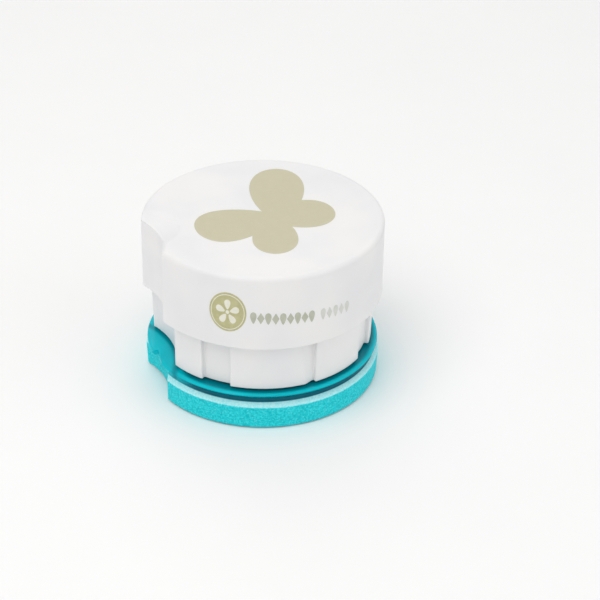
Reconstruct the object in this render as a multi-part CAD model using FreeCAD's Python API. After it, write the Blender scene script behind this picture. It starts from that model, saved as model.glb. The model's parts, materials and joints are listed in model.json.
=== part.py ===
import FreeCAD, Part
import math
import os

from FreeCAD import Vector

# A round craft punch for paper.  A white cap is pressed straight down over a white body;
# a steel punch under the cap goes through the guide block, across the paper slot and into
# the die plate, and four springs lift it again.  The base is a teal plastic tray.
#
# Millimetres.  The origin is the centre of the face the punch stands on, +Z is up, -X goes
# through the middle of the thumb recess and -Y is the side that carries the label.
# A plan angle is counted from +X towards +Y, in degrees.

# Overall sizes
HEIGHT = 61.4
CAP_RADIUS = 42.5

# Thumb recess: one upright axis outside the punch, and a radius for each part round it
RECESS_X = -65.0
CAP_RECESS = 27.5
BASE_RECESS = 28.5
BODY_RECESS = 31.3

# Levels of the faces, from the bottom up
BASE_BOTTOM = 0.4
COVER_BOTTOM = 0.6
COVER_TOP = 2.4
DECK_UNDER = 9.4
LEDGE_OUTER = 9.75
LEDGE_INNER = 10.6
TONGUE_UNDER = 12.2
DIE_UNDER = 11.0
TABLE = 14.0
BODY_BOTTOM = 15.0
GUIDE_TOP = 21.5
COLLAR_TOP = 23.5
SKIRT_BOTTOM = 33.3
BODY_TOP = 49.5
CARRIER_UNDER = 42.0
CARRIER_TOP = 44.5
CAP_CEILING = 58.8

# Base tray
BASE_RADIUS = 41.85
FOOT_RADIUS = 41.45
BASE_WALL = 2.3
TABLE_RADIUS = 41.4
LEDGE_RADIUS = 40.3
DIE_SEAT = 33.9
DIE_LAND = 33.0
CHIP_RADIUS = 28.5
TONGUE_FLAT_ANGLE = 171.0
TONGUE_FLAT_DEPTH = 38.6
TONGUE_STEP = 6.8

# Body shell
BODY_RADIUS_LOW = 39.0
BODY_RADIUS_HIGH = 39.6
FLUTE_RADIUS_LOW = 37.4
FLUTE_RADIUS_HIGH = 37.7
FLUTE_TOP = 38.0
FLUTES = ((218.9, 234.5), (311.0, 326.0))
RAMP_START = (39.8, 271.0)
RAMP_END = (37.6, 279.2)
BODY_BORE = 35.3
GUIDE_RADIUS = 34.3
COLLAR_BORE = 29.5

# Cap
CAP_WALL = 2.2
CAP_RECESS_WALL = 2.0
CAP_EDGE = 1.5
SCOOP_ANGLE = 173.0
SCOOP_RADIUS = 13.0
SCOOP_DEPTH = 1.7

# Butterfly: two mirrored pairs of wings, each an ellipse (x, y, half length, half width, turn)
UPPER_WING = (12.7, 9.6, 13.9, 9.6, 53.0)
LOWER_WING = (8.0, -3.1, 13.0, 8.7, -66.0)
WING_CENTRE = 7.0
PUNCH_SCALE = 0.92
BUTTERFLY_TURN = 32.4
GUIDE_GAP = 0.06
DIE_GAP = 0.08

# Punch stack
PUNCH_UNDER = 19.5
PUNCH_TOP = 34.5
BACKING_RADIUS = 16.0
CARRIER_RADIUS = 33.0
MOVING_RECESS = 34.2
PUNCH_SCREWS = ((-9.0, 3.5), (9.0, 3.5), (0.0, -6.5))

# Guide posts, springs and their stops
POST_RING = 27.0
POST_ANGLES = (17.4, 122.4, 227.4, 302.4)
POST_RADIUS = 2.5
POST_FOOT = 16.5
POST_TOP = 47.0
BUSHING_BORE = 2.55
BUSHING_RADIUS = 3.8
BUSHING_FLANGE = 4.9
BUSHING_UNDER = 40.6
SPRING_RADIUS = 3.9
SPRING_WIRE = 0.8
SPRING_TURNS = 6.5
STOP_RADIUS = 5.0
STOP_THICK = 1.2
SPRING_ROOM = 5.4

# Fastener rings: (distance from the axis, plan angles)
CLAMP_RING = (31.0, (-35.0, 0.0, 35.0))
DOWEL_RING = (31.0, (50.0, -48.0))
BODY_SCREW_RING = (31.8, (70.0, 150.0, 265.0, 340.0))
CAP_SCREW_RING = (27.5, (70.0, 175.0, 265.0, 340.0))
COVER_SCREW_RING = (36.0, (45.0, 135.0, 225.0, 315.0))
WEB_HALF_ANGLE = 57.0
WEB_BORE = 27.5

UP = Vector(0, 0, 1)
REACH = 100.0


def cylinder(radius, low, high, x=0.0, y=0.0):
    return Part.makeCylinder(radius, high - low, Vector(x, y, low), UP)


def cone(radius_low, radius_high, low, high):
    return Part.makeCone(radius_low, radius_high, high - low, Vector(0, 0, low), UP)


def tube(outer, inner, low, high, x=0.0, y=0.0):
    return cylinder(outer, low, high, x, y).cut(cylinder(inner, low - 1, high + 1, x, y))


def recess(radius, low, high):
    """The upright cylinder that hollows the thumb recess out of one part."""
    return cylinder(radius, low, high, RECESS_X)


def on_ring(ring):
    """Plan positions of a ring of fasteners."""
    radius, angles = ring
    turns = [math.radians(angle) for angle in angles]
    return [(radius * math.cos(turn), radius * math.sin(turn)) for turn in turns]


def at_posts():
    return on_ring((POST_RING, POST_ANGLES))


def group(shapes):
    return Part.makeCompound(shapes)


def drilled(shape, places, radius, low, high):
    """Cuts the same upright hole at each place."""
    return shape.cut(group([cylinder(radius, low, high, x, y) for x, y in places]))


def sector(outer, start, end, low, high):
    """A wedge of a disc between two plan angles."""
    wedge = Part.makeCylinder(outer, high - low, Vector(0, 0, low), UP, end - start)
    wedge.rotate(Vector(0, 0, 0), UP, start)
    return wedge


def revolved(edges):
    """Turns a closed profile, drawn as (radius, height), once round the axis."""
    face = Part.Face(Part.Wire(edges))
    return face.revolve(Vector(0, 0, 0), UP, 360)


def line(start, end):
    return Part.makeLine(Vector(start[0], 0, start[1]), Vector(end[0], 0, end[1]))


def arc(start, middle, end):
    points = [Vector(p[0], 0, p[1]) for p in (start, middle, end)]
    return Part.Arc(*points).toShape()


def edges_at(shape, height):
    """Edges that lie wholly at one height."""
    return [e for e in shape.Edges if abs(e.BoundBox.ZMin - height) + abs(e.BoundBox.ZMax - height) < 0.01]


def upright_edges(shape, shortest):
    """Edges that rise steeply for at least that height, such as the ends of a recess."""
    found = []
    for edge in shape.Edges:
        box = edge.BoundBox
        if box.ZLength > shortest and max(box.XLength, box.YLength) < 0.5 * box.ZLength:
            found.append(edge)
    return found


def off_seam(edges):
    """Leaves out the seams of round faces, which lie in the plane y = 0."""
    return [edge for edge in edges if abs(edge.BoundBox.YMin) > 0.5]


def screw(x, y, head_low, head_high, head_radius, tip, shank_radius):
    """A cap screw with a hexagon socket; its tip is above or below its head."""
    head = cylinder(head_radius, head_low, head_high, x, y)
    points_up = tip > head_high
    if points_up:
        shank = cylinder(shank_radius, head_high, tip, x, y)
        socket_from = head_low
    else:
        shank = cylinder(shank_radius, tip, head_low, x, y)
        socket_from = head_high
    depth = 0.55 * (head_high - head_low)
    across = 0.5 * head_radius
    corners = []
    for i in range(7):
        turn = math.radians(60 * i)
        corners.append(Vector(x + across * math.cos(turn), y + across * math.sin(turn), socket_from))
    inward = depth if points_up else -depth
    socket = Part.Face(Part.makePolygon(corners)).extrude(Vector(0, 0, inward))
    return head.fuse(shank).removeSplitter().cut(socket)


def wing(side, shape, gap):
    """One wing as a flat ellipse, mirrored by side (1 or -1) and grown by gap."""
    x, y, half_length, half_width, turn = shape
    ellipse = Part.Ellipse(Vector(0, 0, 0), half_length * PUNCH_SCALE + gap, half_width * PUNCH_SCALE + gap)
    face = Part.Face(Part.Wire(ellipse.toShape()))
    face.rotate(Vector(0, 0, 0), UP, turn if side > 0 else 180 - turn)
    face.translate(Vector(side * x * PUNCH_SCALE, (y - WING_CENTRE) * PUNCH_SCALE, 0))
    return face


def butterfly(gap, low, high):
    """The butterfly as an upright prism with its widest circle centred on the axis."""
    wings = [wing(side, shape, gap) for shape in (UPPER_WING, LOWER_WING) for side in (1, -1)]
    prisms = [face.extrude(Vector(0, 0, high - low)) for face in wings]
    solid = prisms[0].multiFuse(prisms[1:]).removeSplitter()
    solid.translate(Vector(0, 0, low))
    solid.rotate(Vector(0, 0, 0), UP, BUTTERFLY_TURN)
    return solid


def butterfly_places(places):
    """Turns points given in the butterfly's own plan frame into the punch's frame."""
    turn = math.radians(BUTTERFLY_TURN)
    cos, sin = math.cos(turn), math.sin(turn)
    return [(x * cos - y * sin, x * sin + y * cos) for x, y in places]


# ---------------------------------------------------------------- base

def base_tray():
    """Teal tray: frosted foot wall, sloping ledge, cove, and the raised paper table."""
    foot = (FOOT_RADIUS - 0.8, BASE_BOTTOM)
    wall_low = (FOOT_RADIUS, BASE_BOTTOM + 0.8)
    wall_high = (BASE_RADIUS, LEDGE_OUTER - 1.05)
    ledge_out = (BASE_RADIUS - 0.5, LEDGE_OUTER)
    ledge_in = (LEDGE_RADIUS, LEDGE_INNER)
    cove_high = (TABLE_RADIUS, TABLE - 0.8)
    table_edge = (TABLE_RADIUS - 0.8, TABLE)
    outline = [
        line((CHIP_RADIUS, BASE_BOTTOM), foot),
        arc(foot, (FOOT_RADIUS - 0.23, BASE_BOTTOM + 0.23), wall_low),
        line(wall_low, wall_high),
        arc(wall_high, (BASE_RADIUS - 0.13, LEDGE_OUTER - 0.47), ledge_out),
        line(ledge_out, ledge_in),
        arc(ledge_in, (LEDGE_RADIUS + 0.1, LEDGE_INNER + 1.4), cove_high),
        arc(cove_high, (TABLE_RADIUS - 0.23, TABLE - 0.23), table_edge),
        line(table_edge, (DIE_SEAT, TABLE)),
        line((DIE_SEAT, TABLE), (DIE_SEAT, DIE_UNDER)),
        line((DIE_SEAT, DIE_UNDER), (CHIP_RADIUS, DIE_UNDER)),
        line((CHIP_RADIUS, DIE_UNDER), (CHIP_RADIUS, BASE_BOTTOM)),
    ]
    tray = revolved(outline)
    tray = tray.cut(recess(BASE_RECESS, BASE_BOTTOM - 1, TONGUE_UNDER))

    hollow = cylinder(BASE_RADIUS - BASE_WALL, BASE_BOTTOM - 1, DECK_UNDER)
    hollow = hollow.cut(recess(BASE_RECESS + BASE_WALL, BASE_BOTTOM - 2, DECK_UNDER + 1))
    bosses = [cylinder(3.2, COVER_TOP, DECK_UNDER + 1, x, y) for x, y in on_ring(COVER_SCREW_RING)]
    hollow = hollow.cut(group(bosses))
    tray = tray.cut(hollow)
    tray = drilled(tray, on_ring(COVER_SCREW_RING), 1.22, COVER_TOP - 1, DECK_UNDER - 1)
    tray = drilled(tray, on_ring(CLAMP_RING), 1.7, DECK_UNDER - 1, DIE_UNDER + 1)

    # Beside the thumb recess a shallow land fills the seat and keys the die plate.
    land = cylinder(DIE_SEAT, DIE_UNDER, TABLE).common(recess(DIE_LAND, DIE_UNDER, TABLE))
    tray = tray.fuse(land).removeSplitter()

    # In front of the tongue the table is cut back to a flat, with a step behind it.
    flat = Part.makeBox(REACH, REACH, TABLE, Vector(TONGUE_FLAT_DEPTH, TONGUE_STEP, LEDGE_INNER))
    flat.rotate(Vector(0, 0, 0), UP, TONGUE_FLAT_ANGLE)
    limit = sector(REACH, 150.0, 210.0, LEDGE_INNER, TABLE + 1)
    return tray.cut(flat.common(limit))


def bottom_cover():
    """Ring that closes the tray from below and leaves the chip opening free."""
    ring = tube(BASE_RADIUS - BASE_WALL - 0.2, CHIP_RADIUS, COVER_BOTTOM, COVER_TOP)
    ring = ring.cut(recess(BASE_RECESS + BASE_WALL + 0.2, 0, COVER_TOP + 1))
    ring = ring.cut(tube(33.1, 29.4, 0, COVER_BOTTOM + 0.8))
    ring = drilled(ring, on_ring(COVER_SCREW_RING), 1.4, 0, COVER_TOP + 1)
    return drilled(ring, on_ring(COVER_SCREW_RING), 2.4, 0, COVER_BOTTOM + 1.0)


def foot_ring():
    """Non-slip ring in the cover's groove; the punch stands on it."""
    ring = tube(33.0, 29.5, 0, COVER_BOTTOM + 0.8)
    return ring.makeFillet(0.3, edges_at(ring, 0.0))


def cover_screws():
    places = on_ring(COVER_SCREW_RING)
    return group([screw(x, y, COVER_BOTTOM + 0.1, COVER_BOTTOM + 1.0, 2.2, 7.6, 1.2) for x, y in places])


def die_plate():
    """Hardened plate, flush with the table, with the butterfly opening."""
    plate = cylinder(DIE_SEAT - 0.1, DIE_UNDER, TABLE)
    plate = plate.cut(recess(DIE_LAND + 0.1, DIE_UNDER - 1, TABLE + 1))
    plate = plate.cut(butterfly(DIE_GAP, DIE_UNDER - 1, TABLE + 1))
    plate = drilled(plate, on_ring(CLAMP_RING), 1.7, DIE_UNDER - 1, TABLE + 1)
    return drilled(plate, on_ring(DOWEL_RING), 1.51, DIE_UNDER - 1, TABLE + 1)


def throat_spacer():
    """C-shaped shim that holds the body above the table and sets the paper slot."""
    web = sector(DIE_SEAT - 0.1, -WEB_HALF_ANGLE, WEB_HALF_ANGLE, TABLE, BODY_BOTTOM)
    web = web.cut(cylinder(WEB_BORE, TABLE - 1, BODY_BOTTOM + 1))
    web = drilled(web, on_ring(CLAMP_RING), 1.7, TABLE - 1, BODY_BOTTOM + 1)
    return drilled(web, on_ring(DOWEL_RING), 1.51, TABLE - 1, BODY_BOTTOM + 1)


def guide_block():
    """Die-cast block above the slot: guides the punch and carries the posts."""
    block = cylinder(GUIDE_RADIUS, BODY_BOTTOM, GUIDE_TOP)
    block = block.cut(recess(BODY_RECESS + 2.2, BODY_BOTTOM - 1, GUIDE_TOP + 1))
    block = block.cut(butterfly(GUIDE_GAP, BODY_BOTTOM - 1, GUIDE_TOP + 1))
    block = drilled(block, at_posts(), POST_RADIUS, POST_FOOT, GUIDE_TOP + 1)
    block = drilled(block, on_ring(BODY_SCREW_RING), 1.25, BODY_BOTTOM + 1, GUIDE_TOP + 1)
    block = drilled(block, on_ring(CLAMP_RING), 1.5, BODY_BOTTOM - 1, GUIDE_TOP - 1)
    return drilled(block, on_ring(DOWEL_RING), 1.51, BODY_BOTTOM - 1, GUIDE_TOP - 1.5)


def clamp_screws():
    """Screws from below that hold die plate, spacer and guide block on the tray."""
    places = on_ring(CLAMP_RING)
    return group([screw(x, y, DECK_UNDER - 2.2, DECK_UNDER, 2.7, GUIDE_TOP - 1.5, 1.48) for x, y in places])


def dowel_pins():
    """Pins that line the guide block up with the die plate."""
    pins = []
    for x, y in on_ring(DOWEL_RING):
        pin = cylinder(1.5, DIE_UNDER + 0.2, GUIDE_TOP - 1.8, x, y)
        pins.append(pin.makeChamfer(0.25, pin.Edges[0:1] + pin.Edges[2:3]))
    return group(pins)


# ---------------------------------------------------------------- body

def polar(radius, angle, height):
    turn = math.radians(angle)
    return Vector(radius * math.cos(turn), radius * math.sin(turn), height)


def ramp_cutter(mirror):
    """Narrow flute: its floor slopes inwards and ends in a step; mirror is 1 or -1."""
    low = BODY_BOTTOM - 1
    corners = [RAMP_START, RAMP_END, (50.0, RAMP_END[1]), (50.0, RAMP_START[1]), RAMP_START]
    points = [polar(radius, mirror * angle, low) for radius, angle in corners]
    return Part.Face(Part.makePolygon(points)).extrude(Vector(0, 0, FLUTE_TOP - low))


def flute_cutters():
    """Shallow upright recesses, mirrored about the plane through the thumb recess."""
    low = BODY_BOTTOM - 1
    core = cone(FLUTE_RADIUS_LOW, FLUTE_RADIUS_HIGH, low, FLUTE_TOP)
    mirrored = [(360 - end, 360 - start) for start, end in FLUTES]
    cutters = [sector(50, start, end, low, FLUTE_TOP).cut(core) for start, end in list(FLUTES) + mirrored]
    return cutters + [ramp_cutter(1), ramp_cutter(-1)]


def body_shell():
    """White shell round the guide block, with the fluted front and an inner collar."""
    shell = cone(BODY_RADIUS_LOW, BODY_RADIUS_HIGH, BODY_BOTTOM, SKIRT_BOTTOM)
    shell = shell.fuse(cylinder(BODY_RADIUS_HIGH, SKIRT_BOTTOM, BODY_TOP)).removeSplitter()
    shell = shell.cut(recess(BODY_RECESS, BODY_BOTTOM - 1, BODY_TOP + 1))
    for cutter in flute_cutters():
        shell = shell.cut(cutter)
    shell = shell.makeFillet(0.5, off_seam(upright_edges(shell, 10)))
    shell = shell.makeFillet(0.3, edges_at(shell, BODY_BOTTOM))
    shell = shell.makeFillet(0.3, edges_at(shell, BODY_TOP))

    lining = recess(BODY_RECESS + 2.1, BODY_BOTTOM - 2, BODY_TOP + 2)
    seat = cylinder(GUIDE_RADIUS + 0.15, BODY_BOTTOM - 1, GUIDE_TOP)
    throat = cylinder(COLLAR_BORE, GUIDE_TOP - 1, COLLAR_TOP + 1)
    bore = cylinder(BODY_BORE, COLLAR_TOP, BODY_TOP + 1)
    hollow = seat.fuse(throat).fuse(bore).cut(lining)
    shell = shell.cut(hollow)
    shell = drilled(shell, at_posts(), SPRING_ROOM, GUIDE_TOP - 1, COLLAR_TOP + 1)
    return drilled(shell, on_ring(BODY_SCREW_RING), 1.4, GUIDE_TOP - 1, COLLAR_TOP + 1)


def body_screws():
    """Screws through the collar into the guide block."""
    places = on_ring(BODY_SCREW_RING)
    return group([screw(x, y, COLLAR_TOP, COLLAR_TOP + 1.8, 2.3, BODY_BOTTOM + 1.4, 1.23) for x, y in places])


# ---------------------------------------------------------------- posts and springs

def guide_post(x, y):
    post = cylinder(POST_RADIUS - 0.01, POST_FOOT, POST_TOP, x, y)
    post = post.makeChamfer(0.3, edges_at(post, POST_TOP))
    return post.cut(cylinder(1.25, POST_TOP - 8, POST_TOP + 1, x, y))


def wire_section(centre, radius, along):
    """Round section across the direction along, drawn as three arcs."""
    along.normalize()
    across = Vector(1, 0, 0)
    upward = along.cross(across)

    def point(angle):
        turn = math.radians(angle)
        return centre + across * (radius * math.cos(turn)) + upward * (radius * math.sin(turn))

    arcs = []
    for start in (17, 137, 257):
        arcs.append(Part.Arc(point(start), point(start + 60), point(start + 120)).toShape())
    return Part.Wire(arcs)


def return_spring(x, y):
    """Coil spring between the guide block and the bushing's flange."""
    wire = 0.5 * SPRING_WIRE
    low = GUIDE_TOP + wire + 0.02
    length = BUSHING_UNDER - wire - 0.02 - low
    pitch = length / SPRING_TURNS
    coil = Part.makeHelix(pitch, length, SPRING_RADIUS)
    along = Vector(0, 2 * math.pi * SPRING_RADIUS, pitch)
    section = wire_section(Vector(SPRING_RADIUS, 0, 0), wire, along)
    spring = Part.Wire(coil.Edges).makePipeShell([section], True, True)
    spring.translate(Vector(x, y, low))
    return spring


def bushing(x, y):
    """Flanged sleeve pressed into the carrier; it runs on a guide post."""
    sleeve = cylinder(BUSHING_RADIUS, CARRIER_UNDER, POST_TOP, x, y)
    flange = cylinder(BUSHING_FLANGE, BUSHING_UNDER, CARRIER_UNDER, x, y)
    body = sleeve.fuse(flange).removeSplitter()
    return body.cut(cylinder(BUSHING_BORE, BUSHING_UNDER - 1, POST_TOP + 1, x, y))


def stop_washers():
    """Washers on the post tops; the bushings rest against them when the cap is up."""
    places = at_posts()
    return group([tube(STOP_RADIUS, 1.4, POST_TOP, POST_TOP + STOP_THICK, x, y) for x, y in places])


def post_screws():
    low = POST_TOP + STOP_THICK
    return group([screw(x, y, low, low + 1.8, 2.6, POST_TOP - 7, 1.23) for x, y in at_posts()])


# ---------------------------------------------------------------- moving parts

def cap():
    """White cap: a cup with the thumb recess, a scoop in its top edge and screw bosses."""
    shell = cylinder(CAP_RADIUS, SKIRT_BOTTOM, HEIGHT)
    shell = shell.cut(recess(CAP_RECESS, SKIRT_BOTTOM - 1, HEIGHT + 1))
    shell = shell.makeFillet(0.7, off_seam(upright_edges(shell, 20)))
    shell = shell.makeFillet(CAP_EDGE, edges_at(shell, HEIGHT))
    shell = shell.makeFillet(0.4, edges_at(shell, SKIRT_BOTTOM))

    turn = math.radians(SCOOP_ANGLE)
    ball = (SCOOP_RADIUS ** 2 + SCOOP_DEPTH ** 2) / (2 * SCOOP_DEPTH)
    centre = Vector(CAP_RADIUS * math.cos(turn), CAP_RADIUS * math.sin(turn), HEIGHT - SCOOP_DEPTH + ball)
    shell = shell.cut(Part.makeSphere(ball, centre))

    hollow = cylinder(CAP_RADIUS - CAP_WALL, SKIRT_BOTTOM - 1, CAP_CEILING)
    hollow = hollow.cut(recess(CAP_RECESS + CAP_RECESS_WALL, SKIRT_BOTTOM - 2, CAP_CEILING + 1))
    boss_low = CAP_CEILING - 4
    bosses = [cylinder(3.2, boss_low, CAP_CEILING + 1, x, y) for x, y in on_ring(CAP_SCREW_RING)]
    shell = shell.cut(hollow.cut(group(bosses)))
    return drilled(shell, on_ring(CAP_SCREW_RING), 1.5, boss_low - 1, CAP_CEILING - 0.2)


def pressure_hub():
    """Ribbed spider that carries the press from the cap's ceiling to the carrier."""
    floor = CARRIER_TOP + 2
    rim = CARRIER_RADIUS - 1
    hub = cylinder(rim, CARRIER_TOP, floor)
    hub = hub.fuse(tube(rim, rim - 2, CARRIER_TOP, CAP_CEILING))
    hub = hub.fuse(cylinder(16, CARRIER_TOP, CAP_CEILING))
    for i in range(12):
        rib = Part.makeBox(rim - 16, 1.6, CAP_CEILING - CARRIER_TOP, Vector(15.5, -0.8, CARRIER_TOP))
        rib.rotate(Vector(0, 0, 0), UP, 30 * i + 10)
        hub = hub.fuse(rib)
    boss_top = CAP_CEILING - 4
    for x, y in on_ring(CAP_SCREW_RING):
        hub = hub.fuse(cylinder(4.2, CARRIER_TOP, boss_top, x, y))
    for x, y in at_posts():
        hub = hub.fuse(cylinder(7.2, CARRIER_TOP, CAP_CEILING, x, y))
    hub = hub.common(cylinder(rim, CARRIER_TOP, CAP_CEILING))
    hub = hub.cut(recess(MOVING_RECESS + 0.4, CARRIER_TOP - 1, CAP_CEILING + 1))
    hub = hub.cut(cylinder(13, CARRIER_TOP - 1, CAP_CEILING + 1))
    hub = drilled(hub, at_posts(), STOP_RADIUS + 0.6, CARRIER_TOP - 1, CAP_CEILING + 1)
    hub = drilled(hub, on_ring(CAP_SCREW_RING), 1.6, CARRIER_TOP - 1, boss_top + 1)
    return drilled(hub, on_ring(CAP_SCREW_RING), 3.4, boss_top, CAP_CEILING + 1).removeSplitter()


def carrier_plate():
    """Steel plate that holds the punch and the four bushings."""
    plate = cylinder(CARRIER_RADIUS, CARRIER_UNDER, CARRIER_TOP)
    plate = plate.cut(recess(MOVING_RECESS, CARRIER_UNDER - 1, CARRIER_TOP + 1))
    plate = drilled(plate, at_posts(), BUSHING_RADIUS + 0.01, CARRIER_UNDER - 1, CARRIER_TOP + 1)
    plate = drilled(plate, on_ring(CAP_SCREW_RING), 1.6, CARRIER_UNDER - 1, CARRIER_TOP + 1)
    return drilled(plate, butterfly_places(PUNCH_SCREWS), 1.6, CARRIER_UNDER - 1, CARRIER_TOP + 1)


def punch_backing():
    """Block between the carrier and the punch."""
    block = cylinder(BACKING_RADIUS, PUNCH_TOP, CARRIER_UNDER)
    block = block.makeChamfer(1.0, edges_at(block, PUNCH_TOP))
    return drilled(block, butterfly_places(PUNCH_SCREWS), 1.6, PUNCH_TOP - 1, CARRIER_UNDER + 1)


def butterfly_punch():
    """Hardened punch; its lower face cuts the paper against the die plate."""
    punch = butterfly(0.0, PUNCH_UNDER, PUNCH_TOP)
    return drilled(punch, butterfly_places(PUNCH_SCREWS), 1.5, PUNCH_TOP - 6.5, PUNCH_TOP + 1)


def punch_screws():
    places = butterfly_places(PUNCH_SCREWS)
    return group([screw(x, y, CARRIER_TOP, CARRIER_TOP + 2, 2.7, PUNCH_TOP - 6, 1.48) for x, y in places])


def cap_screws():
    """Screws from below through carrier and hub into the cap's bosses."""
    places = on_ring(CAP_SCREW_RING)
    return group([screw(x, y, CARRIER_UNDER - 2, CARRIER_UNDER, 2.7, CAP_CEILING - 0.6, 1.48) for x, y in places])


def nodes():
    parts = {
        "base_tray": base_tray(),
        "bottom_cover": bottom_cover(),
        "foot_ring": foot_ring(),
        "cover_screws": cover_screws(),
        "die_plate": die_plate(),
        "throat_spacer": throat_spacer(),
        "guide_block": guide_block(),
        "clamp_screws": clamp_screws(),
        "dowel_pins": dowel_pins(),
        "body_shell": body_shell(),
        "body_screws": body_screws(),
        "stop_washers": stop_washers(),
        "post_screws": post_screws(),
        "cap": cap(),
        "pressure_hub": pressure_hub(),
        "carrier_plate": carrier_plate(),
        "punch_backing": punch_backing(),
        "butterfly_punch": butterfly_punch(),
        "punch_screws": punch_screws(),
        "cap_screws": cap_screws(),
    }
    for number, (x, y) in enumerate(at_posts(), start=1):
        parts[f"guide_post_{number}"] = guide_post(x, y)
        parts[f"return_spring_{number}"] = return_spring(x, y)
        parts[f"bushing_{number}"] = bushing(x, y)
    return parts


def main():
    os.makedirs("parts", exist_ok=True)
    for name, shape in nodes().items():
        shape.exportStep(os.path.join("parts", name + ".step"))
        print(name, "valid" if shape.isValid() else "NOT VALID", len(shape.Solids), round(shape.Volume, 1))


main()
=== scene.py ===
import json
import math

import bmesh
import bpy
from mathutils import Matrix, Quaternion, Vector


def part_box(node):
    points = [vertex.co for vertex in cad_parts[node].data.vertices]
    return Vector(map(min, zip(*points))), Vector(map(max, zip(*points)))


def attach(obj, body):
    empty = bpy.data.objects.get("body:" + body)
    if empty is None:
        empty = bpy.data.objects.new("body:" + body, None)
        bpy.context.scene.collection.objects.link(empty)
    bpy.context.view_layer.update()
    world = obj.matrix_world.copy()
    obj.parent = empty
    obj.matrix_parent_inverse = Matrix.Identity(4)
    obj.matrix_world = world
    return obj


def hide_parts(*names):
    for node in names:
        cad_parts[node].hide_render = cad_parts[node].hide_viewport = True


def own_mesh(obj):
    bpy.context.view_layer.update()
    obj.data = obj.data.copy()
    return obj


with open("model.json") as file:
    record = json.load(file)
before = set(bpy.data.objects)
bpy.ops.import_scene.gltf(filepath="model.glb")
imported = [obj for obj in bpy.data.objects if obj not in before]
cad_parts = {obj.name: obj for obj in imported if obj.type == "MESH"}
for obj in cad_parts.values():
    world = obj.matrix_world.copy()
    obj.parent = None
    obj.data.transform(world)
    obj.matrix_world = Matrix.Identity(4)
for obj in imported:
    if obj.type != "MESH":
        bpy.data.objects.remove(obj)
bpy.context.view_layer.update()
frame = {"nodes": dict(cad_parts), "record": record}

# Metres, in the CAD's frame: the punch stands on z = 0, its thumb recess faces -X and its
# label faces -Y.  Plan angles are counted from +X towards +Y, in degrees.
MM = 0.001
CAP_RADIUS = 42.5 * MM
CAP_TOP = 61.4 * MM
RECESS_X = -65.0 * MM  # upright axis of the thumb recess
TARGET = Vector((0, 0, 0.5 * CAP_TOP))


def direction(angle, elevation):
    """Unit vector from the punch towards a plan angle and an elevation, in degrees."""
    turn, rise = math.radians(angle), math.radians(elevation)
    flat = math.cos(rise)
    return Vector((math.cos(turn) * flat, math.sin(turn) * flat, math.sin(rise)))


# ---------------------------------------------------------------- camera, floor and light

CAMERA_ANGLE = 251.0
CAMERA_ELEVATION = 31.7
CAMERA_DISTANCE = 0.7085
CAMERA_LENS = 119.3
CAMERA_SHIFT = (0.0624, -0.0155)
CAMERA_ROLL = 0.3

WORLD_COLOUR = (1.0, 0.995, 0.99, 1)
WORLD_STRENGTH = 0.68

WARM_WHITE = (1.0, 0.985, 0.97)
COOL_WHITE = (0.88, 0.95, 1.0)
# Name, plan angle, elevation, distance, width, power and tint of each lamp
LAMPS = (
    ("key", 215, 62, 0.95, 0.7, 2.5, WARM_WHITE),
    ("fill", 320, 40, 1.1, 0.9, 1.05, COOL_WHITE),
    ("back", 80, 50, 1.1, 0.8, 1.2, WARM_WHITE),
)


def make_camera():
    """The camera looks at the punch's middle; a lens shift places it in the frame."""
    data = bpy.data.cameras.new("camera")
    data.lens = CAMERA_LENS
    data.sensor_width = 36
    data.shift_x, data.shift_y = CAMERA_SHIFT
    data.clip_start = 0.01
    camera = bpy.data.objects.new("camera", data)
    back = direction(CAMERA_ANGLE, CAMERA_ELEVATION)
    camera.location = TARGET + back * CAMERA_DISTANCE
    level = (-back).to_track_quat("-Z", "Y")
    roll = Quaternion((0, 0, 1), math.radians(CAMERA_ROLL))
    camera.rotation_euler = (level @ roll).to_euler()
    bpy.context.scene.collection.objects.link(camera)
    bpy.context.scene.camera = camera


def make_light(name, angle, elevation, distance, size, power, tint):
    """A round soft lamp that looks at the punch."""
    data = bpy.data.lights.new(name, "AREA")
    data.shape = "DISK"
    data.size = size
    data.energy = power
    data.color = tint
    lamp = bpy.data.objects.new(name, data)
    back = direction(angle, elevation)
    lamp.location = TARGET + back * distance
    lamp.rotation_euler = (-back).to_track_quat("-Z", "Y").to_euler()
    bpy.context.scene.collection.objects.link(lamp)


def make_world():
    """Even, nearly white light from all round."""
    world = bpy.data.worlds.new("studio")
    world.use_nodes = True
    background = world.node_tree.nodes["Background"]
    background.inputs["Color"].default_value = WORLD_COLOUR
    background.inputs["Strength"].default_value = WORLD_STRENGTH
    bpy.context.scene.world = world
    bpy.context.scene.view_settings.view_transform = "Standard"


# ---------------------------------------------------------------- material nodes

def colour(red, green, blue):
    """Screen colour, 0 to 255, as the shader's linear colour."""
    def linear(value):
        value /= 255
        return value / 12.92 if value <= 0.04045 else ((value + 0.055) / 1.055) ** 2.4
    return (linear(red), linear(green), linear(blue), 1.0)


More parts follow.
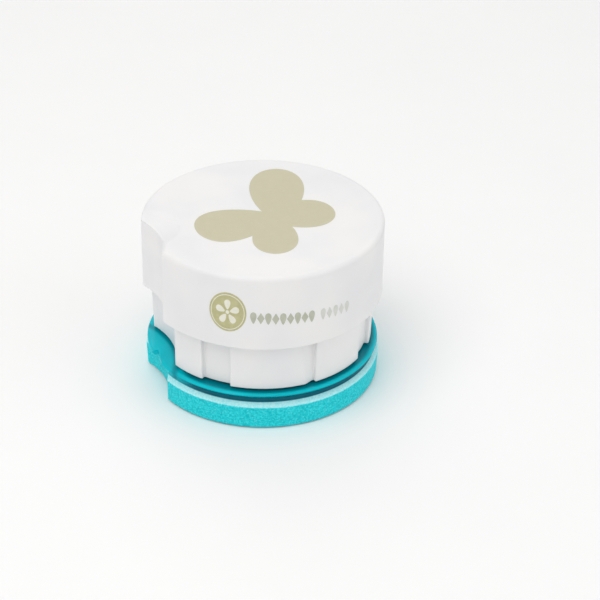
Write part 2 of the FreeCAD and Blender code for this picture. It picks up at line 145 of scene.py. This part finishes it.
class Graph:
    """One material's node tree, with short calls for the nodes used here."""

    def __init__(self, name):
        self.material = bpy.data.materials.new(name)
        self.material.use_nodes = True
        self.nodes = self.material.node_tree.nodes
        self.links = self.material.node_tree.links
        self.shader = self.nodes["Principled BSDF"]
        self.place = self.add("ShaderNodeTexCoord").outputs["Object"]

    def put(self, socket, value):
        """Links an input to another node's output, or sets its plain value."""
        if isinstance(value, bpy.types.NodeSocket):
            self.links.new(value, socket)
        else:
            socket.default_value = value

    def add(self, kind, inputs=None, **settings):
        """A new node; inputs are given by name or number."""
        node = self.nodes.new(kind)
        for name, value in settings.items():
            setattr(node, name, value)
        for name, value in (inputs or {}).items():
            self.put(node.inputs[name], value)
        return node

    def finish(self, **values):
        """Sets the shader's inputs; underscores stand for spaces in their names."""
        for name, value in values.items():
            self.put(self.shader.inputs[name.replace("_", " ")], value)
        return self.material

    def maths(self, operation, first, second):
        inputs = {0: first, 1: second}
        return self.add("ShaderNodeMath", inputs, operation=operation).outputs[0]

    def noise(self, grain, detail=2.0, roughness=0.5, place=None):
        """Smooth noise, 0 to 1, whose features are about grain millimetres across."""
        inputs = {
            "Vector": place or self.place,
            "Scale": 1.0 / (grain * MM),
            "Detail": detail,
            "Roughness": roughness,
        }
        return self.add("ShaderNodeTexNoise", inputs).outputs["Fac"]

    def cells(self, grain):
        """Distance to scattered points about grain millimetres apart, 0 to about 1."""
        inputs = {"Vector": self.place, "Scale": 1.0 / (grain * MM)}
        return self.add("ShaderNodeTexVoronoi", inputs).outputs["Distance"]

    def spread(self, value, low, high, to_low=0.0, to_high=1.0):
        """Maps low..high smoothly to to_low..to_high and clamps outside."""
        inputs = {
            "Value": value,
            "From Min": low,
            "From Max": high,
            "To Min": to_low,
            "To Max": to_high,
        }
        node = self.add("ShaderNodeMapRange", inputs, interpolation_type="SMOOTHSTEP")
        return node.outputs["Result"]

    def upto(self, value, low, high):
        """1 below low, 0 above high."""
        return self.spread(value, low, high, 1.0, 0.0)

    def mix(self, share, first, second):
        """Colour between first and second."""
        inputs = {0: share, 6: first, 7: second}
        return self.add("ShaderNodeMix", inputs, data_type="RGBA").outputs[2]

    def blend_values(self, share, first, second):
        """Number between first and second."""
        inputs = {0: share, 2: first, 3: second}
        return self.add("ShaderNodeMix", inputs, data_type="FLOAT").outputs[0]

    def stretched(self, x, y, z):
        """The place, scaled along each axis, for streaks and grain."""
        inputs = {0: self.place, 1: (x, y, z)}
        return self.add("ShaderNodeVectorMath", inputs, operation="MULTIPLY").outputs[0]

    def height_above(self):
        """Height above the floor."""
        return self.add("ShaderNodeSeparateXYZ", {0: self.place}).outputs["Z"]

    def from_axis(self):
        """Distance from the punch's upright axis."""
        flat = self.stretched(1, 1, 0)
        return self.add("ShaderNodeVectorMath", {0: flat}, operation="LENGTH").outputs["Value"]

    def from_recess(self):
        """Distance from the upright axis of the thumb recess."""
        inputs = {0: self.stretched(1, 1, 0), 1: (RECESS_X, 0, 0)}
        return self.add("ShaderNodeVectorMath", inputs, operation="DISTANCE").outputs["Value"]

    def round_edges(self, radius):
        """A normal that looks rounded at sharp edges."""
        inputs = {"Radius": radius * MM}
        return self.add("ShaderNodeBevel", inputs, samples=6).outputs["Normal"]

    def edges(self, radius):
        """0 on open faces, up to 1 along sharp edges."""
        inputs = {
            0: self.round_edges(radius),
            1: self.add("ShaderNodeNewGeometry").outputs["Normal"],
        }
        along = self.add("ShaderNodeVectorMath", inputs, operation="DOT_PRODUCT").outputs["Value"]
        return self.spread(self.maths("SUBTRACT", 1.0, along), 0.01, 0.2)

    def bump(self, height, depth, strength=1.0, normal=None):
        """Bump of up to depth millimetres."""
        inputs = {"Height": height, "Distance": depth * MM, "Strength": strength}
        if normal is not None:
            inputs["Normal"] = normal
        return self.add("ShaderNodeBump", inputs).outputs["Normal"]


# ---------------------------------------------------------------- materials

NOISE = (0.3, 0.7)  # nearly all of a smooth noise lies between these


def white_plastic():
    """Moulded white plastic, a little translucent, with a fine satin texture."""
    g = Graph("white_plastic")
    broad = g.noise(28, 2)
    shade = g.mix(g.spread(broad, *NOISE), colour(236, 236, 238), colour(243, 242, 241))
    specks = g.spread(g.noise(0.9, 3), 0.66, 0.74)
    shade = g.mix(g.maths("MULTIPLY", specks, 0.10), shade, colour(205, 208, 212))
    # Painted highlight: the white is lightened along sharp edges
    edge_highlight = g.maths("MULTIPLY", g.edges(0.5), 0.35)
    shade = g.mix(edge_highlight, shade, colour(250, 250, 250))
    rough = g.spread(g.noise(6, 3), *NOISE, 0.36, 0.48)
    fine = g.bump(g.noise(0.35, 2), 0.012, 0.6, g.round_edges(0.25))
    wavy = g.bump(g.noise(16, 1), 0.05, 0.5, fine)
    return g.finish(
        Base_Color=shade, Roughness=rough, Normal=wavy, IOR=1.5,
        Subsurface_Weight=0.12, Subsurface_Radius=(1.0, 0.95, 0.9), Subsurface_Scale=1.6 * MM,
    )


# Where the finish of the teal base changes, and where its painted shade and painted highlight
# begin and end, from and to: heights above the floor, distances from the punch's axis and
# distances from the thumb recess's axis
FROSTED_WALL_TOP = (9.3 * MM, 9.6 * MM)
LEDGE_FOOT = (8.7 * MM, 9.2 * MM)
LEDGE_TOP = (10.4 * MM, 10.65 * MM)
TONGUE_UNDER = (12.0 * MM, 12.15 * MM)
COVE_TOP = (13.1 * MM, 13.6 * MM)
LEDGE_RADIUS = (40.15 * MM, 40.4 * MM)
TABLE_RIM_RADIUS = (39.2 * MM, 40.8 * MM)
RECESS_WALL = (28.6 * MM, 28.75 * MM)
COVE_FADES_IN = (28.5 * MM, 41.0 * MM)
RECESS_RIM_INNER = (29.4 * MM, 31.4 * MM)
RECESS_RIM_OUTER = (31.6 * MM, 33.5 * MM)
TABLE_FADES_IN = (32.5 * MM, 38.0 * MM)


def teal_plastic():
    """Teal base: glossy table and cove, frosted ledge with a painted highlight, frosted wall and
    recess.
    """
    g = Graph("teal_plastic")
    height, radius = g.height_above(), g.from_axis()
    from_recess = g.from_recess()
    wall = g.upto(height, *FROSTED_WALL_TOP)
    below_cove = g.upto(height, *LEDGE_TOP)
    outside = g.spread(radius, *LEDGE_RADIUS)
    ledge = g.maths("MULTIPLY", below_cove, outside)
    in_recess = g.upto(from_recess, *RECESS_WALL)
    under_tongue = g.upto(height, *TONGUE_UNDER)
    frost = g.maths("MAXIMUM", wall, ledge)
    frost = g.maths("MAXIMUM", frost, g.maths("MULTIPLY", in_recess, under_tongue))

    # Painted shade: the gloss is darkened in the cove, on the table beside the body and along the
    # recess
    broad = g.noise(22, 2)
    gloss_shade = g.mix(g.spread(broad, *NOISE), colour(0, 186, 200), colour(0, 200, 214))
    cove = g.upto(height, *COVE_TOP)
    cove = g.maths("MULTIPLY", cove, g.spread(from_recess, *COVE_FADES_IN))
    beside_body = g.upto(radius, *TABLE_RIM_RADIUS)
    beside_body = g.maths("MULTIPLY", beside_body, g.spread(from_recess, *TABLE_FADES_IN))
    beside_recess = g.spread(from_recess, *RECESS_RIM_INNER)
    beside_recess = g.maths("MULTIPLY", beside_recess, g.upto(from_recess, *RECESS_RIM_OUTER))
    painted_shade = g.maths("MAXIMUM", g.maths("MULTIPLY", beside_body, 0.75), cove)
    painted_shade = g.maths("MAXIMUM", g.maths("MULTIPLY", beside_recess, 0.55), painted_shade)
    gloss_shade = g.mix(painted_shade, gloss_shade, colour(0, 96, 114))

    grain = g.noise(0.7, 5, 0.7)
    glints = g.upto(g.cells(1.2), 0.0, 0.36)
    frost_shade = g.mix(g.spread(grain, 0.36, 0.64), colour(2, 196, 207), colour(60, 230, 238))
    frost_shade = g.mix(g.maths("MULTIPLY", glints, 0.36), frost_shade, colour(150, 240, 245))
    # Painted highlight: the ledge's frost is painted much paler where the light falls on it
    ledge_highlight = g.mix(g.spread(grain, *NOISE), colour(150, 236, 243), colour(203, 250, 254))
    pale = g.maths("MULTIPLY", ledge, g.spread(height, *LEDGE_FOOT))
    frost_shade = g.mix(pale, frost_shade, ledge_highlight)
    # Painted highlight: the frost is lightened along sharp edges
    edge_highlight = g.maths("MULTIPLY", g.edges(0.5), 0.4)
    frost_shade = g.mix(edge_highlight, frost_shade, colour(176, 240, 244))
    shade = g.mix(frost, gloss_shade, frost_shade)

    gloss_rough = g.spread(g.noise(5, 3), *NOISE, 0.07, 0.13)
    frost_rough = g.spread(grain, *NOISE, 0.48, 0.66)
    rough = g.blend_values(frost, gloss_rough, frost_rough)
    fine = g.bump(g.maths("MULTIPLY", grain, frost), 0.045, 0.7, g.round_edges(0.2))
    wavy = g.bump(g.noise(12, 1), 0.03, 0.4, fine)
    return g.finish(
        Base_Color=shade, Roughness=rough, Normal=wavy, IOR=1.5, Specular_IOR_Level=0.12,
        Subsurface_Weight=0.1, Subsurface_Radius=(0.4, 1.0, 1.0), Subsurface_Scale=1.2 * MM,
    )


def grey_plastic():
    """Glass-filled grey nylon of the hidden ribs."""
    g = Graph("grey_plastic")
    fibres = g.noise(0.5, 4, 0.6, g.stretched(1, 1, 0.25))
    shade = g.mix(g.spread(fibres, 0.35, 0.65), colour(122, 126, 131), colour(143, 147, 152))
    shade = g.mix(g.maths("MULTIPLY", g.edges(0.4), 0.5), shade, colour(178, 181, 185))
    rough = g.spread(g.noise(3, 3), *NOISE, 0.48, 0.62)
    normal = g.bump(fibres, 0.02, 0.7, g.round_edges(0.2))
    return g.finish(Base_Color=shade, Roughness=rough, Normal=normal, IOR=1.5)


def foot_rubber():
    """Soft dark rubber, a little dusty."""
    g = Graph("foot_rubber")
    dust = g.spread(g.noise(4, 5, 0.7), 0.45, 0.75)
    shade = g.mix(dust, colour(44, 47, 50), colour(84, 86, 88))
    shade = g.mix(g.maths("MULTIPLY", g.edges(0.4), 0.4), shade, colour(112, 113, 114))
    rough = g.spread(dust, 0.0, 1.0, 0.7, 0.9)
    normal = g.bump(g.noise(0.5, 3), 0.03, 0.8, g.round_edges(0.25))
    return g.finish(Base_Color=shade, Roughness=rough, Normal=normal, Specular_IOR_Level=0.35)


def metal(name, dark, light, grain, rough, streaks=(1, 1, 1), depth=0.006):
    """A bare or plated metal: grain along an axis, darker patches and bright edges."""
    g = Graph(name)
    lines = g.noise(grain, 4, 0.6, g.stretched(*streaks))
    patches = g.spread(g.noise(7, 4, 0.6), 0.35, 0.7)
    shade = g.mix(g.spread(lines, *NOISE), dark, light)
    shade = g.mix(g.maths("MULTIPLY", patches, 0.25), shade, dark)
    bright = tuple(min(1.0, 1.25 * part) for part in light[:3]) + (1.0,)
    shade = g.mix(g.maths("MULTIPLY", g.edges(0.25), 0.4), shade, bright)
    roughness = g.spread(lines, *NOISE, rough - 0.06, rough + 0.08)
    normal = g.bump(lines, depth, 0.7, g.round_edges(0.12))
    return g.finish(Base_Color=shade, Metallic=1.0, Roughness=roughness, Normal=normal)


def print_ink(name, shade, worn, speckle):
    """Pad-printed ink, slightly uneven, with small gaps that let the white show."""
    g = Graph(name)
    uneven = g.noise(2.5, 4, 0.65)
    ink = g.mix(g.spread(uneven, 0.35, 0.75), shade, worn)
    dots = g.spread(g.noise(0.25, 2), 0.68, 0.76)
    ink = g.mix(g.maths("MULTIPLY", dots, speckle), ink, colour(240, 240, 238))
    rough = g.spread(uneven, *NOISE, 0.38, 0.52)
    normal = g.bump(g.noise(0.3, 3), 0.008, 0.6)
    return g.finish(Base_Color=ink, Roughness=rough, Normal=normal, IOR=1.5)


def floor_paper():
    """Plain pale studio floor with a barely visible tooth."""
    g = Graph("floor")
    shade = g.mix(g.noise(60, 3), colour(251, 251, 251), colour(254, 254, 254))
    normal = g.bump(g.noise(0.8, 3), 0.02, 0.3)
    return g.finish(Base_Color=shade, Roughness=0.85, Normal=normal, Specular_IOR_Level=0.1)


MATERIALS = {
    "white_plastic": white_plastic(),
    "teal_plastic": teal_plastic(),
    "grey_plastic": grey_plastic(),
    "foot_rubber": foot_rubber(),
    "tool_steel": metal(
        "tool_steel", (0.42, 0.43, 0.45, 1), (0.60, 0.61, 0.63, 1), 0.5, 0.24, (1, 0.06, 0.06)
    ),
    "plate_steel": metal(
        "plate_steel", (0.40, 0.41, 0.42, 1), (0.56, 0.57, 0.58, 1), 0.6, 0.34, (0.05, 1, 1)
    ),
    "spring_steel": metal(
        "spring_steel", (0.30, 0.31, 0.33, 1), (0.50, 0.50, 0.52, 1), 0.35, 0.30, (1, 1, 0.5)
    ),
    "plated_steel": metal("plated_steel", (0.46, 0.48, 0.52, 1), (0.68, 0.70, 0.73, 1), 0.6, 0.26),
    "die_cast_zinc": metal(
        "die_cast_zinc", (0.34, 0.35, 0.36, 1), (0.47, 0.48, 0.49, 1), 0.8, 0.46, depth=0.02
    ),
    "bushing_bronze": metal(
        "bushing_bronze", (0.36, 0.22, 0.10, 1), (0.60, 0.40, 0.20, 1), 0.5, 0.32
    ),
}


def dress_cad_nodes():
    """Gives every CAD node the material of its slot."""
    for part in frame["record"]["subparts"]:
        mesh = frame["nodes"][part["node"]].data
        mesh.materials.clear()
        mesh.materials.append(MATERIALS[part["material_slot"]])


# ---------------------------------------------------------------- mesh helpers

def new_piece(name, mesh_builder, material, body):
    """Makes a mesh object from a filled bmesh and lets it ride on a CAD body."""
    mesh = bpy.data.meshes.new(name)
    bmesh.ops.recalc_face_normals(mesh_builder, faces=mesh_builder.faces)
    mesh_builder.to_mesh(mesh)
    mesh_builder.free()
    mesh.materials.append(material)
    piece = bpy.data.objects.new(name, mesh)
    bpy.context.scene.collection.objects.link(piece)
    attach(piece, body)
    return piece


def face_strip(builder, lower, upper):
    """Faces between two closed loops of vertices."""
    count = len(lower)
    for i in range(count):
        j = (i + 1) % count
        builder.faces.new((lower[i], lower[j], upper[j], upper[i]))


PLATE_BEVEL = 0.3  # share of a plate's thickness
PLATE_RINGS = (0.985, 0.75, 0.5, 0.25)  # rings of a plate's upper face, as shares of its outline


def solid_plate(builder, outline, centre, low, high, wrap):
    """A thin closed plate, star-shaped about its centre, with a bevelled upper edge.

    The outline is a list of plan points in metres, low and high are the depths of its faces,
    and wrap turns (x, y, depth) into a place."""
    cx, cy = centre
    bevel = PLATE_BEVEL * (high - low)
    layers = [(1.0, low), (1.0, high - bevel)] + [(share, high) for share in PLATE_RINGS]
    loops = []
    for share, depth in layers:
        drawn_in = [(cx + (x - cx) * share, cy + (y - cy) * share) for x, y in outline]
        loops.append([builder.verts.new(wrap(x, y, depth)) for x, y in drawn_in])
    for lower, upper in zip(loops, loops[1:]):
        face_strip(builder, lower, upper)
    for loop, depth in ((loops[-1], high), (loops[0], low)):
        middle = builder.verts.new(wrap(cx, cy, depth))
        for first, second in zip(loop, loop[1:] + loop[:1]):
            builder.faces.new((first, second, middle))


def band(builder, outline_out, outline_in, low, high, wrap):
    """A closed flat band between two outlines with the same number of points."""
    corners = ((outline_out, low), (outline_out, high), (outline_in, high), (outline_in, low))
    loops = []
    for outline, depth in corners:
        loops.append([builder.verts.new(wrap(x, y, depth)) for x, y in outline])
    for lower, upper in zip(loops, loops[1:] + loops[:1]):
        face_strip(builder, lower, upper)


def on_top(x, y, depth):
    """Plan place on the cap's top; depth is the height above it."""
    return Vector((x, y, CAP_TOP + depth))


def on_wall(angle, height):
    """Returns a wrap for a label on the cap's wall: x runs round it, y up, depth outwards."""
    def wrap(x, y, depth):
        turn = math.radians(angle) + x / CAP_RADIUS
        radius = CAP_RADIUS + depth
        return Vector((radius * math.cos(turn), radius * math.sin(turn), height + y))
    return wrap


# ---------------------------------------------------------------- prints on the cap

# Lobes of the printed butterfly in plan, in millimetres: centre x and y, half length, half
# width, the way the tip points in degrees, and the share by which it swells towards its tip
LOBES = (
    (10.0, 14.0, 18.0, 9.6, 72.0, 0.20),
    (-10.4, -2.4, 14.8, 10.4, 182.0, 0.35),
    (-0.6, -14.8, 11.8, 7.8, 252.0, 0.15),
    (13.4, -3.2, 11.6, 9.6, 355.0, 0.15),
)
BUTTERFLY_MIDDLE = (3.0, -3.0)
BUTTERFLY_POINTS = 480
FIRST_STRIDE, LAST_STRIDE = 0.5, 0.005  # of the walk that finds the outline

# Depths of the prints' faces below (negative) and above the plastic
PRINT_ON_TOP = (-0.02 * MM, 0.04 * MM)
PRINT_ON_WALL = (-0.03 * MM, 0.04 * MM)
BADGE_GROUND = (-0.05 * MM, 0.06 * MM)
BADGE_RELIEF = (0.02 * MM, 0.09 * MM)


def inside_lobe(x, y, lobe):
    """True if a plan point, in millimetres, lies in an egg-shaped lobe."""
    cx, cy, half_length, half_width, turn, swell = lobe
    cos, sin = math.cos(math.radians(turn)), math.sin(math.radians(turn))
    along = ((x - cx) * cos + (y - cy) * sin) / half_length
    width = half_width * (1 + swell * max(-1.0, min(1.0, along)))
    across = ((y - cy) * cos - (x - cx) * sin) / width
    return along * along + across * across < 1


def butterfly_outline():
    """Outline of the four lobes together, walked outwards from a middle point between them."""
    mx, my = BUTTERFLY_MIDDLE
    points = []
    for i in range(BUTTERFLY_POINTS):
        turn = 2 * math.pi * i / BUTTERFLY_POINTS
        dx, dy = math.cos(turn), math.sin(turn)
        reach, stride = 1.0, FIRST_STRIDE
        while stride > LAST_STRIDE:
            x, y = mx + dx * (reach + stride), my + dy * (reach + stride)
            if any(inside_lobe(x, y, lobe) for lobe in LOBES):
                reach += stride
            else:
                stride *= 0.5
        points.append(((mx + dx * reach) * MM, (my + dy * reach) * MM))
    return points


def make_butterfly_print(ink):
    """Butterfly on the cap's top: the kind of shape that the punch cuts."""
    builder = bmesh.new()
    centre = (BUTTERFLY_MIDDLE[0] * MM, BUTTERFLY_MIDDLE[1] * MM)
    solid_plate(builder, butterfly_outline(), centre, *PRINT_ON_TOP, on_top)
    new_piece("cap_print_butterfly", builder, ink, "plunger")


# Badge on the cap's wall: plan angle, height, and plan sizes in millimetres before it is
# stretched upwards
BADGE_ANGLE = 235.0
BADGE_HEIGHT = 47.5 * MM
BADGE_HALF_WIDTH = 6.5
BADGE_TALLER = 1.17
BADGE_POINTS = 96
RING_OUTER, RING_INNER = 5.9, 5.65
PETALS = 5
PETAL_LENGTH, PETAL_WIDTH, PETAL_START = 3.3, 2.5, 0.9
FLOWER_MIDDLE = 0.62


def circle(radius, steps):
    """Plan points round a circle whose radius is in millimetres."""
    points = []
    for i in range(steps):
        turn = 2 * math.pi * i / steps
        points.append((radius * math.cos(turn) * MM, radius * math.sin(turn) * MM))
    return points


def petal(length, width, turn, start, steps=28):
    """A leaf that starts at start millimetres from the centre and points along turn degrees."""
    angle = math.radians(turn)
    cos, sin = math.cos(angle), math.sin(angle)
    points = []
    for i in range(steps):
        phase = 2 * math.pi * i / steps
        along = start + 0.5 * length * (1 - math.cos(phase))
        across = 0.5 * width * math.sin(phase) * (0.8 - 0.35 * math.cos(phase))
        points.append(((along * cos - across * sin) * MM, (along * sin + across * cos) * MM))
    centre = start + 0.5 * length
    return points, (centre * cos * MM, centre * sin * MM)


def make_badge(ink, pale):
    """Round badge with a thin ring and a plain five-petal flower."""
    wall = on_wall(BADGE_ANGLE, BADGE_HEIGHT)

    def wrap(x, y, depth):
        return wall(x, y * BADGE_TALLER, depth)

    builder = bmesh.new()
    solid_plate(builder, circle(BADGE_HALF_WIDTH, BADGE_POINTS), (0, 0), *BADGE_GROUND, wrap)
    new_piece("cap_badge", builder, ink, "plunger")

    builder = bmesh.new()
    outer, inner = circle(RING_OUTER, BADGE_POINTS), circle(RING_INNER, BADGE_POINTS)
    band(builder, outer, inner, *BADGE_RELIEF, wrap)
    new_piece("cap_badge_ring", builder, pale, "plunger")

    builder = bmesh.new()
    for i in range(PETALS):
        turn = 90 + 360 * i / PETALS
        outline, centre = petal(PETAL_LENGTH, PETAL_WIDTH, turn, PETAL_START)
        solid_plate(builder, outline, centre, *BADGE_RELIEF, wrap)
    solid_plate(builder, circle(FLOWER_MIDDLE, 20), (0, 0), *BADGE_RELIEF, wrap)
    new_piece("cap_badge_flower", builder, pale, "plunger")


# Row of marks on the cap's wall: it starts at a plan angle and drops a little at each step
MARK_HEIGHT = 46.1 * MM
MARK_TALL = 4.5
MARK_START = 246.9
MARK_STEP = 3.39
MARK_FALL = 0.15 * MM


def lozenge(tall, wide, steps=4):
    """A lozenge whose sides are split into steps, so that it follows a curved wall."""
    corners = ((0.5 * wide, 0), (0, 0.5 * tall), (-0.5 * wide, 0), (0, -0.5 * tall))
    points = []
    for (x0, y0), (x1, y1) in zip(corners, corners[1:] + corners[:1]):
        for k in range(steps):
            points.append(((x0 + (x1 - x0) * k / steps) * MM, (y0 + (y1 - y0) * k / steps) * MM))
    return points


def make_marks(name, first, count, width, ink):
    """A row of plain upright leaves and lozenges along the cap's wall."""
    builder = bmesh.new()
    for i in range(count):
        place = first + i
        wrap = on_wall(MARK_START + MARK_STEP * place, MARK_HEIGHT - MARK_FALL * place)
        if i % 2 == 0:
            outline, centre = petal(MARK_TALL, width, 90, -0.5 * MARK_TALL)
        else:
            outline, centre = lozenge(MARK_TALL, width), (0, 0)
        solid_plate(builder, outline, centre, *PRINT_ON_WALL, wrap)
    new_piece(name, builder, ink, "plunger")


# ---------------------------------------------------------------- return springs

# Millimetres; the springs stand on the guide block and push against the carrier's bushings
SPRING_WIRE = 0.8
SPRING_RADIUS = 3.9
SPRING_LOW = 21.55
SPRING_HIGH = 40.55
SPRING_TURNS = 7.5
SPRING_CLOSED = 0.9  # turns at each end that lie closed
CLOSED_PITCH = 1.06 * SPRING_WIRE
STEPS_PER_TURN = 28
WIRE_SIDES = 12


def spring_centreline():
    """Turns and heights along a compression spring whose end coils lie closed."""
    low, high = SPRING_LOW + 0.5 * SPRING_WIRE, SPRING_HIGH - 0.5 * SPRING_WIRE
    rise_closed = SPRING_CLOSED * CLOSED_PITCH
    points = []
    count = int(SPRING_TURNS * STEPS_PER_TURN)
    for i in range(count + 1):
        turn = SPRING_TURNS * i / count
        if turn < SPRING_CLOSED:
            height = low + rise_closed * turn / SPRING_CLOSED
        elif turn > SPRING_TURNS - SPRING_CLOSED:
            height = high - rise_closed * (SPRING_TURNS - turn) / SPRING_CLOSED
        else:
            share = (turn - SPRING_CLOSED) / (SPRING_TURNS - 2 * SPRING_CLOSED)
            height = low + rise_closed + (high - low - 2 * rise_closed) * share
        points.append((2 * math.pi * turn, height))
    return points


def make_spring(number, material):
    """Round-wire coil spring in place of the plain one of the CAD."""
    node = f"return_spring_{number}"
    lowest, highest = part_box(node)
    middle = 0.5 * (lowest + highest)
    builder = bmesh.new()
    rings = []
    for turn, height in spring_centreline():
        ring = []
        for k in range(WIRE_SIDES):
            phase = 2 * math.pi * k / WIRE_SIDES
            radius = (SPRING_RADIUS + 0.5 * SPRING_WIRE * math.cos(phase)) * MM
            z = (height + 0.5 * SPRING_WIRE * math.sin(phase)) * MM
            place = (middle.x + radius * math.cos(turn), middle.y + radius * math.sin(turn), z)
            ring.append(builder.verts.new(place))
        rings.append(ring)
    for lower, upper in zip(rings, rings[1:]):
        face_strip(builder, lower, upper)
    builder.faces.new(rings[0])
    builder.faces.new(rings[-1])
    piece = new_piece(f"coil_spring_{number}", builder, material, "base")
    for face in piece.data.polygons:
        face.use_smooth = True
    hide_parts(node)
    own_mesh(piece)


# ---------------------------------------------------------------- the scene

# Radius and height of the floor's rings, in metres, from the middle out
FLOOR_LEVEL = [(0.25, 0), (0.6, 0), (1.2, 0), (2.2, 0)]
FLOOR_RISE = [(2.8, 0.05), (3.3, 0.3), (3.6, 0.9), (3.7, 2.0)]
FLOOR_POINTS = 96


def make_floor():
    """A wide pale floor that rises gently to a low backdrop all round."""
    builder = bmesh.new()
    rings = []
    for radius, height in FLOOR_LEVEL + FLOOR_RISE:
        ring = []
        for i in range(FLOOR_POINTS):
            turn = 2 * math.pi * i / FLOOR_POINTS
            place = (radius * math.cos(turn), radius * math.sin(turn), height)
            ring.append(builder.verts.new(place))
        rings.append(ring)
    builder.faces.new(rings[0])
    for inner, outer in zip(rings, rings[1:]):
        face_strip(builder, outer, inner)
    mesh = bpy.data.meshes.new("floor")
    builder.to_mesh(mesh)
    builder.free()
    mesh.materials.append(floor_paper())
    for face in mesh.polygons:
        face.use_smooth = True
    floor = bpy.data.objects.new("floor", mesh)
    bpy.context.scene.collection.objects.link(floor)


make_camera()
make_world()
for lamp in LAMPS:
    make_light(*lamp)
make_floor()

dress_cad_nodes()
BEIGE = print_ink("print_beige", colour(200, 195, 165), colour(204, 199, 170), 0.06)
OLIVE = print_ink("print_olive", colour(186, 182, 134), colour(200, 196, 150), 0.12)
STONE = print_ink("print_stone", colour(184, 186, 168), colour(196, 198, 182), 0.10)
MIST = print_ink("print_mist", colour(212, 214, 206), colour(222, 224, 217), 0.15)
CHALK = print_ink("print_chalk", colour(232, 231, 214), colour(238, 237, 226), 0.05)
make_butterfly_print(BEIGE)
make_badge(OLIVE, CHALK)
make_marks("cap_marks_bold", first=0, count=9, width=2.5, ink=STONE)
make_marks("cap_marks_light", first=9.7, count=5, width=2.2, ink=MIST)
for spring in (1, 2, 3, 4):
    make_spring(spring, MATERIALS["spring_steel"])
